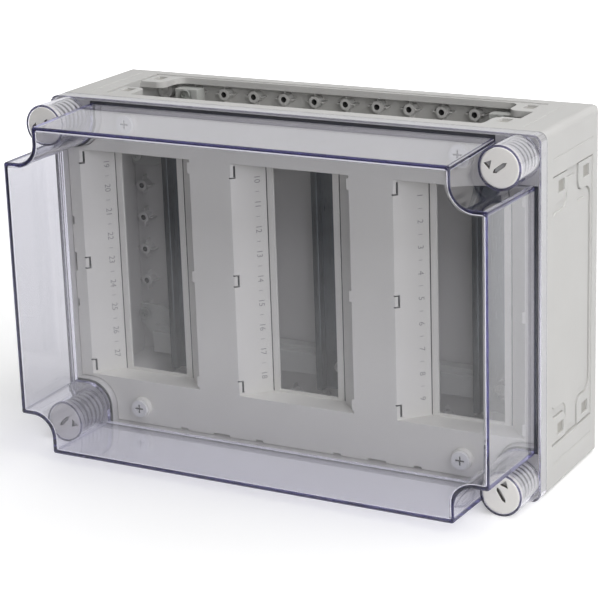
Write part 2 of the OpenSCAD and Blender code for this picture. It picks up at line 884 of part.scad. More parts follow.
// Steel screw along Y, with its head seated at y.
module steel_screw(y, tip) {
  difference() {
    union() {
      bar_y(steel_head_d, y - steel_head_t, y);
      bar_y(steel_d, y - eps, tip);
    }
    cross_recess(y - steel_head_t, steel_head_d);
  }
}

module rail_screws() {
  color("slategray") placed() for (m = [0, 1]) mirror([0, 0, m])
    slot_places() translate([0, 0, beam_z]) steel_screw(rail_back - rail_t, rail_back + beam_step + beam_t);
}

module carrier_screws() {
  color("slategray") placed() four_corners() {
    translate([leg_x, 0, boss_row_z]) steel_screw(leg_front, boss_y + steel_l);
    translate([boss_col_x, 0, foot_z]) steel_screw(foot_front, boss_y + steel_l);
  }
}

// Blanks of the flange openings

module blank_panel(l) { flange_outline(l, channel_w, fit_gap); }
module blank_plug(l) { flange_outline(l, fit_gap, fit_gap); }
module blank_lip(l) {
  translate([-l / 2 - lip_lap, flange_front - blank_lap])
    square([l + 2 * lip_lap, flange_y1 - flange_front + 2 * blank_lap]);
}

module blank_left() {
  color("gainsboro") placed() {
    on_left(field_d, channel_d) blank_panel(flange_s);
    on_left(channel_d, collar_t) blank_plug(flange_s);
    on_left(collar_t, collar_t + blank_t) blank_lip(flange_s);
  }
}

module blank_right() {
  color("gainsboro") placed() {
    on_right(field_d, channel_d) blank_panel(flange_s);
    on_right(channel_d, collar_t) blank_plug(flange_s);
    on_right(collar_t, collar_t + blank_t) blank_lip(flange_s);
  }
}

module blank_bottom() {
  color("gainsboro") placed() {
    on_bottom(field_d, channel_d) blank_panel(flange_l);
    on_bottom(channel_d, collar_t) blank_plug(flange_l);
    on_bottom(collar_t, collar_t + blank_t) blank_lip(flange_l);
  }
}

module placed() { translate([0, (hood_d - base_d) / 2, half_h]) children(); }

base();
hood();
hood_seal();
cover_screw_tl();
cover_screw_tr();
cover_screw_bl();
cover_screw_br();
front_mask();
mask_screws();
mask_posts();
rail_left();
rail_middle();
rail_right();
carrier_upper();
carrier_lower();
rail_screws();
carrier_screws();
blank_left();
blank_right();
blank_bottom();
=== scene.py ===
"""Looks of an insulated circuit breaker enclosure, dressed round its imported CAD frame.

Sizes in the classes are millimetres in the drawing frame of the part: X to the right and Z up from
the middle of the front view, Y from the seam between hood and base towards the wall. Drawing.point()
turns them into the metres of the row frame. Finishes, lamps and the studio are in metres.
"""

import logging
import math
from dataclasses import dataclass, field
from enum import Enum
from typing import Callable

import bmesh
import bpy
import numpy as np
from mathutils import Matrix, Vector


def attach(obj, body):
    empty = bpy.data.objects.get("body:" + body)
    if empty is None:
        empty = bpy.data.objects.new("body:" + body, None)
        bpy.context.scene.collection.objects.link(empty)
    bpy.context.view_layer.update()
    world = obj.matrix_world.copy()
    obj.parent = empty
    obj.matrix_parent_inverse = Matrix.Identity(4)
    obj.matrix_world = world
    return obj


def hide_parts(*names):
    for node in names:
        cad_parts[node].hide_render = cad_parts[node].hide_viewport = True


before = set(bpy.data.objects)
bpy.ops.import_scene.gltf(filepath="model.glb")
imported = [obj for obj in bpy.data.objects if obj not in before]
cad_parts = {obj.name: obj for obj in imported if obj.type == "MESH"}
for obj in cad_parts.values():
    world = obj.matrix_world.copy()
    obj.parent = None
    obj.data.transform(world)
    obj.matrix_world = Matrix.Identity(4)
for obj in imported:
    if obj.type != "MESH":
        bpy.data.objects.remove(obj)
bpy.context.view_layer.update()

LOG = logging.getLogger("enclosure")
MM = 0.001

WHITE_LIGHT = (1.0, 1.0, 1.0, 1.0)

Triple = tuple[float, float, float]
Colour = Triple
Span = tuple[float, float]
Socket = bpy.types.NodeSocket
Inputs = dict[str, object]
TreeOwner = bpy.types.Material | bpy.types.World
EdgeRule = Callable[[Vector, Vector, bool], float]
FaceRule = Callable[[Vector], bool]


class Body(Enum):
    """CAD bodies that pieces ride on."""

    ENCLOSURE = "enclosure"
    HOOD = "hood"
    SCREW_TL = "cover_screw_tl"
    SCREW_TR = "cover_screw_tr"
    SCREW_BL = "cover_screw_bl"
    SCREW_BR = "cover_screw_br"


class Slot(Enum):
    """Material slots of the record."""

    HOUSING = "housing_grey"
    HOOD = "clear_hood"
    SEAL = "seal_foam"
    SCREW = "screw_plastic"
    MASK = "mask_grey"
    WHITE = "white_plastic"
    POST = "post_plastic"
    RAIL = "zinc_rail"
    CARRIER = "carrier_grey"
    STEEL = "zinc_screw"


class Operation(Enum):
    """Ways to combine two values."""

    ADD = "ADD"
    SUBTRACT = "SUBTRACT"
    MULTIPLY = "MULTIPLY"
    MAXIMUM = "MAXIMUM"


@dataclass(frozen=True)
class Drawing:
    """Where the drawing frame of the part lies in the row frame."""

    seam_y: float = -14.5
    middle_z: float = 125.0

    def point(self, x: float, y: float, z: float) -> Vector:
        """Give the row position of a drawing position."""
        return Vector((x, y + self.seam_y, z + self.middle_z)) * MM

    def drawn(self, row: Vector) -> Vector:
        """Give the drawing position of a row position."""
        return row / MM - Vector((0.0, self.seam_y, self.middle_z))


DRAWING = Drawing()


class Wiring:
    """Node tree of a material or of the world."""

    def __init__(self, owner: TreeOwner, output: str = "OutputMaterial") -> None:
        """Start an empty tree with its output.

        Args:
            owner: Material or world that the tree belongs to.
            output: Kind of the output node, as in add().
        """
        owner.use_nodes = True
        self.tree = owner.node_tree
        self.tree.nodes.clear()
        self.output = self.add(output)

    def add(self, kind: str, inputs: Inputs | None = None, **settings: object) -> bpy.types.Node:
        """Add a node, with its settings and its inputs.

        Args:
            kind: Class of the node, without the words ShaderNode in front.
            inputs: Value or socket for each named input.
            settings: Value of each named setting.

        Returns:
            The new node.
        """
        node = self.tree.nodes.new(f"ShaderNode{kind}")
        for key, value in settings.items():
            setattr(node, key, value)
        for key, value in (inputs or {}).items():
            self.feed(node.inputs[key], value)
        return node

    def feed(self, target: Socket, value: object) -> None:
        """Link a socket to an input, or set the input to a value.

        Args:
            target: Input of a node.
            value: Output to link, or the plain value.
        """
        if isinstance(value, bpy.types.NodeSocket):
            self.tree.links.new(value, target)
        else:
            target.default_value = value

    def object_coordinates(self, stretch: Triple = (1.0, 1.0, 1.0)) -> Socket:
        """Give object coordinates in metres, scaled by stretch.

        Args:
            stretch: Factor along each axis.

        Returns:
            The socket of the coordinates.
        """
        coordinates = self.add("TexCoord").outputs["Object"]
        return self.add("Mapping", {"Vector": coordinates, "Scale": stretch}).outputs["Vector"]

    def noise(self, where: Socket, grain: float, detail: float = 3.0) -> Socket:
        """Give a noise of that grain size.

        Args:
            where: Coordinates in metres.
            grain: Size of one grain in metres.
            detail: Octaves of finer noise.

        Returns:
            The socket of the noise value.
        """
        inputs = {"Vector": where, "Scale": 1.0 / grain, "Detail": detail}
        return self.add("TexNoise", inputs).outputs["Fac"]

    def math(self, operation: Operation, *values: object) -> Socket:
        """Combine values by an operation.

        Args:
            operation: Way to combine them.
            values: Socket or plain value of each input, in order.

        Returns:
            The socket of the result.
        """
        node = self.add("Math", operation=operation.value)
        for target, value in zip(node.inputs, values):
            self.feed(target, value)
        return node.outputs["Value"]

    def ramp(self, value: Socket, low: Colour, high: Colour, span: Span = (0.3, 0.7)) -> Socket:
        """Blend two colours by a value.

        Args:
            value: Value to follow.
            low: Colour up to the first value of the span.
            high: Colour from its last value on.
            span: Values between which the colours blend.

        Returns:
            The socket of the colour.
        """
        node = self.add("ValToRGB", {"Fac": value})
        first, last = node.color_ramp.elements
        first.position, last.position = span
        first.color = (*low, 1.0)
        last.color = (*high, 1.0)
        return node.outputs["Color"]

    def mapped(self, value: Socket, source: Span, target: Span, smooth: bool = False) -> Socket:
        """Map one range of values to another, and hold its ends beyond it.

        Args:
            value: Value to map.
            source: First and last value of its range.
            target: Results for these two.
            smooth: Whether the result eases in and out.

        Returns:
            The socket of the result.
        """
        node = self.add("MapRange", {
            "Value": value, "From Min": source[0], "From Max": source[1],
            "To Min": target[0], "To Max": target[1],
        }, interpolation_type="SMOOTHSTEP" if smooth else "LINEAR")
        return node.outputs["Result"]

    def spread(self, value: Socket, middle: float, reach: float) -> Socket:
        """Map a noise value to a band of that reach round a middle value."""
        return self.mapped(value, (0.0, 1.0), (middle - reach, middle + reach))

    def relief(self, height: Socket, depth: float, strength: float = 1.0) -> Socket:
        """Turn a height value into a bumped normal.

        Args:
            height: Height value.
            depth: Depth of the relief in metres.
            strength: Share of the bump that is used.

        Returns:
            The socket of the normal.
        """
        inputs = {"Height": height, "Distance": depth, "Strength": strength}
        return self.add("Bump", inputs).outputs["Normal"]

    def surface(self, shader: bpy.types.Node, output: str = "BSDF") -> None:
        """Use the named output of a shader as the surface."""
        self.feed(self.output.inputs["Surface"], shader.outputs[output])


def shaded(colour: Colour, factor: float) -> Colour:
    """Give a colour made lighter or darker by a factor."""
    red, green, blue = colour
    return (red * factor, green * factor, blue * factor)


@dataclass(frozen=True)
class MouldedPlastic:
    """Pigmented moulding with an eroded grain and faint flow marks."""

    name: str
    colour: Colour
    roughness: float = 0.5
    roughness_reach: float = 0.06
    index: float = 1.5
    grain: float = 0.00045
    grain_detail: float = 2.0
    grain_depth: float = 0.00003
    flow: float = 0.06
    flow_detail: float = 4.0
    flow_shades: Span = (0.975, 1.025)

    def material(self) -> bpy.types.Material:
        """Make the material.

        Returns:
            The new material.
        """
        made = bpy.data.materials.new(self.name)
        wiring = Wiring(made)
        where = wiring.object_coordinates()
        fine = wiring.noise(where, self.grain, self.grain_detail)
        broad = wiring.noise(where, self.flow, self.flow_detail)
        low, high = (shaded(self.colour, factor) for factor in self.flow_shades)
        shader = wiring.add("BsdfPrincipled", {
            "Base Color": wiring.ramp(broad, low, high),
            "Roughness": wiring.spread(fine, self.roughness, self.roughness_reach),
            "Normal": wiring.relief(fine, self.grain_depth),
            "IOR": self.index,
        })
        wiring.surface(shader)
        return made


@dataclass(frozen=True)
class ClearPlastic:
    """Clear tinted moulding that lets lamps through."""

    name: str
    tint: Colour
    density: float
    wall_tint: Colour = (0.88, 0.88, 0.885)
    lamp_tint: Colour = (0.93, 0.93, 0.93)
    index: float = 1.58
    roughness: float = 0.012
    roughness_reach: float = 0.008
    polish: float = 0.02
    wave: float = 0.09
    wave_detail: float = 1.0
    wave_depth: float = 0.00006

    def material(self) -> bpy.types.Material:
        """Make the material.

        Returns:
            The new material.
        """
        made = bpy.data.materials.new(self.name)
        wiring = Wiring(made)
        where = wiring.object_coordinates()
        polish = wiring.noise(where, self.polish)
        waves = wiring.noise(where, self.wave, self.wave_detail)
        shader = wiring.add("BsdfPrincipled", {
            "Base Color": (*self.wall_tint, 1.0),
            "Transmission Weight": 1.0,
            "IOR": self.index,
            "Roughness": wiring.spread(polish, self.roughness, self.roughness_reach),
            "Normal": wiring.relief(waves, self.wave_depth),
        })
        through = wiring.add("BsdfTransparent", {"Color": (*self.lamp_tint, 1.0)})
        path = wiring.add("LightPath").outputs
        passing = wiring.math(Operation.MAXIMUM, path["Is Shadow Ray"], path["Is Diffuse Ray"])
        mixed = wiring.add("MixShader", {"Fac": passing})
        wiring.feed(mixed.inputs[1], shader.outputs["BSDF"])
        wiring.feed(mixed.inputs[2], through.outputs["BSDF"])
        wiring.surface(mixed, "Shader")
        haze = wiring.add("VolumeAbsorption", {"Color": (*self.tint, 1.0), "Density": self.density})
        wiring.feed(wiring.output.inputs["Volume"], haze.outputs["Volume"])
        return made


@dataclass(frozen=True)
class ZincPlate:
    """Bright zinc on rolled steel, drawn along one axis."""

    name: str
    colour: Colour
    roughness: float = 0.3
    roughness_reach: float = 0.09
    drawn_along: Triple = (1.0, 1.0, 0.03)
    line: float = 0.0004
    line_depth: float = 0.00002
    line_strength: float = 0.6
    cloud: float = 0.012
    cloud_detail: float = 4.0
    cloud_shades: Span = (0.9, 1.06)

    def material(self) -> bpy.types.Material:
        """Make the material.

        Returns:
            The new material.
        """
        made = bpy.data.materials.new(self.name)
        wiring = Wiring(made)
        lines = wiring.noise(wiring.object_coordinates(self.drawn_along), self.line)
        clouds = wiring.noise(wiring.object_coordinates(), self.cloud, self.cloud_detail)
        low, high = (shaded(self.colour, factor) for factor in self.cloud_shades)
        shader = wiring.add("BsdfPrincipled", {
            "Base Color": wiring.ramp(clouds, low, high),
            "Metallic": 1.0,
            "Roughness": wiring.spread(lines, self.roughness, self.roughness_reach),
            "Normal": wiring.relief(lines, self.line_depth, self.line_strength),
        })
        wiring.surface(shader)
        return made


@dataclass(frozen=True)
class CellFoam:
    """Closed-cell foam with a cut skin."""

    name: str
    colour: Colour
    roughness: float = 0.8
    roughness_reach: float = 0.1
    cell: float = 0.0007
    cell_depth: float = 0.0002
    cell_shades: Span = (0.75, 1.3)
    cell_rim: Span = (0.1, 0.8)

    def material(self) -> bpy.types.Material:
        """Make the material.

        Returns:
            The new material.
        """
        made = bpy.data.materials.new(self.name)
        wiring = Wiring(made)
        where = wiring.object_coordinates()
        cells = wiring.add("TexVoronoi", {"Vector": where, "Scale": 1.0 / self.cell}).outputs["Distance"]
        low, high = (shaded(self.colour, factor) for factor in self.cell_shades)
        shader = wiring.add("BsdfPrincipled", {
            "Base Color": wiring.ramp(cells, low, high, self.cell_rim),
            "Roughness": wiring.spread(cells, self.roughness, self.roughness_reach),
            "Normal": wiring.relief(cells, self.cell_depth),
        })
        wiring.surface(shader)
        return made


HOUSING = MouldedPlastic("housing_moulding", (0.540, 0.534, 0.522))
MASK = MouldedPlastic("mask_moulding", (0.74, 0.732, 0.68), roughness=0.45)
# Painted shade: the raised numbers are the mask's own grey, drawn much darker so their relief reads.
NUMBER_SHADE = MouldedPlastic("raised_number_shade", (0.33, 0.325, 0.31), roughness=0.45)
# Painted shade: near-black for the faces inside the flank grooves, latch slits and screw crosses.
SLIT_SHADE = MouldedPlastic("mask_slit_shade", (0.07, 0.07, 0.068), roughness=0.7)
# Painted shade: dark grey for the walls of the driver slots and pointers of the cover screws.
SCREW_SLOT_SHADE = MouldedPlastic("screw_slot_shade", (0.13, 0.12, 0.115), roughness=0.7)
# Painted shade: mid grey for the floors of the screw slots and the barrel behind the head.
SCREW_SOFT_SHADE = MouldedPlastic("screw_soft_shade", (0.62, 0.61, 0.63), roughness=0.45)
# Painted shade: darker grey between the rings of the screw barrels.
SCREW_DEEP_SHADE = MouldedPlastic("screw_deep_shade", (0.36, 0.355, 0.37), roughness=0.5)
# Painted shade: darker grey for the floors of the flange pockets.
POCKET_SHADE = MouldedPlastic("flange_pocket_shade", (0.39, 0.38, 0.355), roughness=0.6)
# Painted shade: near-black inside the pilot bores of the bosses.
BORE_SHADE = MouldedPlastic("pilot_bore_shade", (0.06, 0.06, 0.058), roughness=0.7)
SCREW_HEADS = MouldedPlastic("cover_screw_moulding", (0.88, 0.86, 0.83), roughness=0.4)
WHITE_SCREWS = MouldedPlastic("mask_screw_moulding", (0.78, 0.78, 0.77), roughness=0.35)
POSTS = MouldedPlastic("post_moulding", (0.55, 0.55, 0.53))
CARRIERS = MouldedPlastic("carrier_moulding", (0.43, 0.435, 0.42), roughness=0.5)
CLEAR = ClearPlastic("clear_moulding", (0.36, 0.33, 0.78), 26.0)
RAILS = ZincPlate("rail_zinc", (0.15, 0.172, 0.186))
STEEL = ZincPlate("screw_zinc", (0.60, 0.62, 0.60), 0.35, drawn_along=(1.0, 1.0, 1.0), line=0.0008)
FOAM = CellFoam("seal_cells", (0.016, 0.018, 0.021))


def put_in_scene(name: str, data: bpy.types.ID) -> bpy.types.Object:
    """Put a new object into the scene.

    Args:
        name: Name of the object.
        data: Its mesh, lamp or camera.

    Returns:
        The new object.
    """
    thing = bpy.data.objects.new(name, data)
    bpy.context.scene.collection.objects.link(thing)
    return thing


@dataclass
class RoundedPart:
    """A CAD node shown with the small radii of a moulding or a pressing; its angles are in degrees."""

    node: str
    slot: Slot
    body: Body
    radius: float
    segments: int = 2
    crease: float = 35.0
    weld: float = 0.002
    flat: float = 0.2
    blend: float = 50.0
    # Largest face, in square millimetres, that line() paints with shade.
    shade_area: float = 200.0

    def build(self, finish: bpy.types.Material, rule: EdgeRule | None = None) -> bpy.types.Object:
        """Copy the node with rounded edges, in its place.

        Args:
            finish: Material of the piece.
            rule: Gives the share of the radius for the two ends of an edge and whether it is convex;
                without it, each convex edge takes the whole radius.

        Returns:
            The new piece.
        """
        mesh = bpy.data.meshes.new(f"{self.node}_mesh")
        shape = bmesh.new()
        shape.from_mesh(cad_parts[self.node].data)
        bmesh.ops.remove_doubles(shape, verts=shape.verts, dist=self.weld * MM)
        bmesh.ops.dissolve_limit(shape, angle_limit=math.radians(self.flat), verts=shape.verts,
                                 edges=shape.edges)
        share = shape.edges.layers.float.new("bevel_weight_edge")
        for edge in shape.edges:
            if edge.calc_face_angle(0.0) > math.radians(self.crease):
                ends = [DRAWING.drawn(v.co) for v in edge.verts]
                edge[share] = rule(*ends, edge.is_convex) if rule else float(edge.is_convex)
        shape.to_mesh(mesh)
        shape.free()
        piece = put_in_scene(f"{self.node}_piece", mesh)
        self.round_off(piece)
        self.even_out(piece.data)
        piece.data.materials.append(finish)
        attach(piece, self.body.value)
        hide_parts(self.node)
        LOG.info("%s: %d faces", piece.name, len(piece.data.polygons))
        return piece

    def line(self, piece: bpy.types.Object, finish: bpy.types.Material, rule: FaceRule) -> None:
        """Paint the small faces of a recess in a darker material, as painted shade.

        Args:
            piece: Piece that this part built.
            finish: Darker material that paints shade on the chosen faces.
            rule: Says for the middle of a face, in the drawing frame, whether it is chosen.
        """
        index = len(piece.data.materials)
        piece.data.materials.append(finish)
        shaded_faces = 0
        for polygon in piece.data.polygons:
            if polygon.area < self.shade_area * MM * MM and rule(DRAWING.drawn(polygon.center)):
                polygon.material_index = index
                shaded_faces += 1
        LOG.info("%s: %d faces in %s", piece.name, shaded_faces, finish.name)

    def round_off(self, piece: bpy.types.Object) -> None:
        """Round the marked edges.

        Args:
            piece: Piece with a share of the radius on each edge.
        """
        bevel = piece.modifiers.new("moulded_radii", "BEVEL")
        bevel.limit_method = "WEIGHT"
        bevel.width = self.radius * MM
        bevel.segments = self.segments
        bevel.use_clamp_overlap = False
        bevel.loop_slide = False
        graph = bpy.context.evaluated_depsgraph_get()
        rounded = bpy.data.meshes.new_from_object(piece.evaluated_get(graph))
        plain = piece.data
        piece.modifiers.clear()
        piece.data = rounded
        bpy.data.meshes.remove(plain)

    def even_out(self, mesh: bpy.types.Mesh) -> None:
        """Shade large faces flat and let the rounded edges run into them.

        Args:
            mesh: Rounded mesh of the piece.
        """
        faces = mesh.polygons
        counts = np.empty(len(faces), dtype=np.int32)
        areas = np.empty(len(faces), dtype=np.float32)
        normals = np.empty(len(faces) * 3, dtype=np.float32)
        points = np.empty(len(mesh.loops), dtype=np.int32)
        faces.foreach_get("loop_total", counts)
        faces.foreach_get("area", areas)
        faces.foreach_get("normal", normals)
        mesh.loops.foreach_get("vertex_index", points)
        normals = normals.reshape(-1, 3)
        owners = np.repeat(np.arange(len(faces)), counts)
        order = np.argsort(points, kind="stable")
        starts = np.flatnonzero(np.r_[True, np.diff(points[order]) > 0])
        even = np.empty((len(points), 3), dtype=np.float32)
        for corners in np.split(order, starts[1:]):
            around = owners[corners]
            near = normals[around] @ normals[around].T > math.cos(math.radians(self.blend))
            even[corners] = (near * areas[around]) @ normals[around]
        even /= np.linalg.norm(even, axis=1, keepdims=True)
        faces.foreach_set("use_smooth", np.ones(len(faces), dtype=bool))
        mesh.normals_split_custom_set(even)


@dataclass
class Housing:
    """Base shell with its three closed flange blanks and the foam seal in its rim."""

    shell_radius: float = 0.3
    blank_radius: float = 0.6
    seal_radius: float = 0.6
    seal_segments: int = 3
    boss_pitch: float = 25.0
    boss_y: float = 91.4
    back_y: float = 99.0
    bore_reach: float = 2.3
    half_w: float = 187.5
    half_h: float = 125.0
    pocket_d: float = 2.4
    near: float = 0.05
    skin: float = 0.3
    blanks: tuple[str, ...] = ("blank_left", "blank_right", "blank_bottom")

    def in_bore(self, middle: Vector) -> bool:
        """Say whether a face lies inside the pilot bore of a boss.

        Args:
            middle: Middle of the face in the drawing frame.

        Returns:
            Whether it does.
        """
        half = self.boss_pitch / 2.0
        aside = (middle.x + half) % self.boss_pitch - half
        above = middle.z % self.boss_pitch - half
        deep = self.boss_y + self.skin < middle.y < self.back_y + self.skin
        return deep and math.hypot(aside, above) < self.bore_reach

    def in_pocket(self, middle: Vector) -> bool:
        """Say whether a face is the floor of a flange pocket."""
        depth = min(self.half_w - abs(middle.x), self.half_h - abs(middle.z))
        return abs(depth - self.pocket_d) < self.near

    def build(self) -> None:
        """Build and dress the shell, the blanks and the seal."""
        grey = HOUSING.material()
        shell = RoundedPart("base", Slot.HOUSING, Body.ENCLOSURE, self.shell_radius)
        piece = shell.build(grey)
        # Painted shade inside the pilot bores.
        shell.line(piece, BORE_SHADE.material(), self.in_bore)
        # Painted shade on the floors of the flange pockets.
        shell.line(piece, POCKET_SHADE.material(), self.in_pocket)
        for name in self.blanks:
            RoundedPart(name, Slot.HOUSING, Body.ENCLOSURE, self.blank_radius).build(grey)
        seal = RoundedPart("hood_seal", Slot.SEAL, Body.ENCLOSURE, self.seal_radius, self.seal_segments)
        seal.build(FOAM.material())


@dataclass
class ClearHood:
    """Clear hood with rounded front edges, its flange and its screw tubes."""

    front_y: float = -73.0
    wall: float = 2.8
    flange_y: float = -2.5
    edge_radius: float = 2.6
    edge_segments: int = 5
    inner_share: float = 0.4
    upright_share: float = 0.6
    small_share: float = 0.15
    flange_share: float = 0.03
    near: float = 0.05

    def share(self, one: Vector, two: Vector, convex: bool) -> float:
        """Give the share of the edge radius for an edge of the hood.

        Args:
            one: First end in the drawing frame.
            two: Second end in the drawing frame.
            convex: Whether the edge stands out.

        Returns:
            The share, from 0 to 1.
        """
        ends = (one.y, two.y)
        if max(ends) < self.front_y + self.near:
            return 1.0
        if all(abs(y - self.front_y - self.wall) < self.near for y in ends):
            return self.inner_share
        runs_back = abs(one.y - two.y) > abs(self.front_y) / 2.0
        if runs_back:
            return self.upright_share if convex else self.inner_share
        if not convex:
            return 0.0
        if all(abs(y - self.flange_y) < self.near for y in ends):
            return self.flange_share
        return self.small_share

    def build(self) -> None:
        """Build and dress the hood."""
        part = RoundedPart("hood", Slot.HOOD, Body.HOOD, self.edge_radius, self.edge_segments)
        part.build(CLEAR.material(), self.share)


@dataclass
class CoverScrews:
    """Four ribbed screws that hold the hood."""

    radius: float = 0.35
    front_y: float = -33.3
    slot_depth: float = 3.0
    slot_reach: float = 11.9
    skin: float = 0.4
    axis_x: float = 172.5
    axis_z: float = 110.0
    barrel_y: float = -28.3
    ring_radius: float = 12.3
    bodies: tuple[Body, ...] = (Body.SCREW_TL, Body.SCREW_TR, Body.SCREW_BL, Body.SCREW_BR)

    def in_slot(self, middle: Vector) -> bool:
        """Say whether a face lies inside the driver slot or the pointer of a screw.

        Args:
            middle: Middle of the face in the drawing frame.

        Returns:
            Whether it does.
        """
        depth = middle.y - self.front_y
        return self.reach(middle) < self.slot_reach and self.skin < depth < self.slot_depth - self.skin

    def on_floor(self, middle: Vector) -> bool:
        """Say whether a face is the floor of the driver slot or the pointer of a screw."""
        depth = middle.y - self.front_y
        return self.reach(middle) < self.slot_reach and abs(depth - self.slot_depth) < self.skin

    def on_barrel(self, middle: Vector) -> bool:
        """Say whether a face lies behind the head of a screw."""
        return middle.y > self.barrel_y + self.skin

    def between_rings(self, middle: Vector) -> bool:
        """Say whether a face lies between the rings of a barrel."""
        return self.on_barrel(middle) and self.reach(middle) < self.ring_radius - self.skin

    def reach(self, point: Vector) -> float:
        """Give the distance of a point from the axis of its screw."""
        return math.hypot(abs(point.x) - self.axis_x, abs(point.z) - self.axis_z)

    def build(self) -> None:
        """Build and dress the screws."""
        pale = SCREW_HEADS.material()
        recess_shade = SCREW_SLOT_SHADE.material()
        soft_shade = SCREW_SOFT_SHADE.material()
        shade = SCREW_DEEP_SHADE.material()
        for body in self.bodies:
            part = RoundedPart(body.value, Slot.SCREW, body, self.radius)
            piece = part.build(pale)
            # Painted shade on the walls of the driver slot and pointer.
            part.line(piece, recess_shade, self.in_slot)
            # Painted shade on the slot floors and on the barrel behind the head.
            part.line(piece, soft_shade, self.on_floor)
            part.line(piece, soft_shade, self.on_barrel)
            # Painted shade between the rings.
            part.line(piece, shade, self.between_rings)


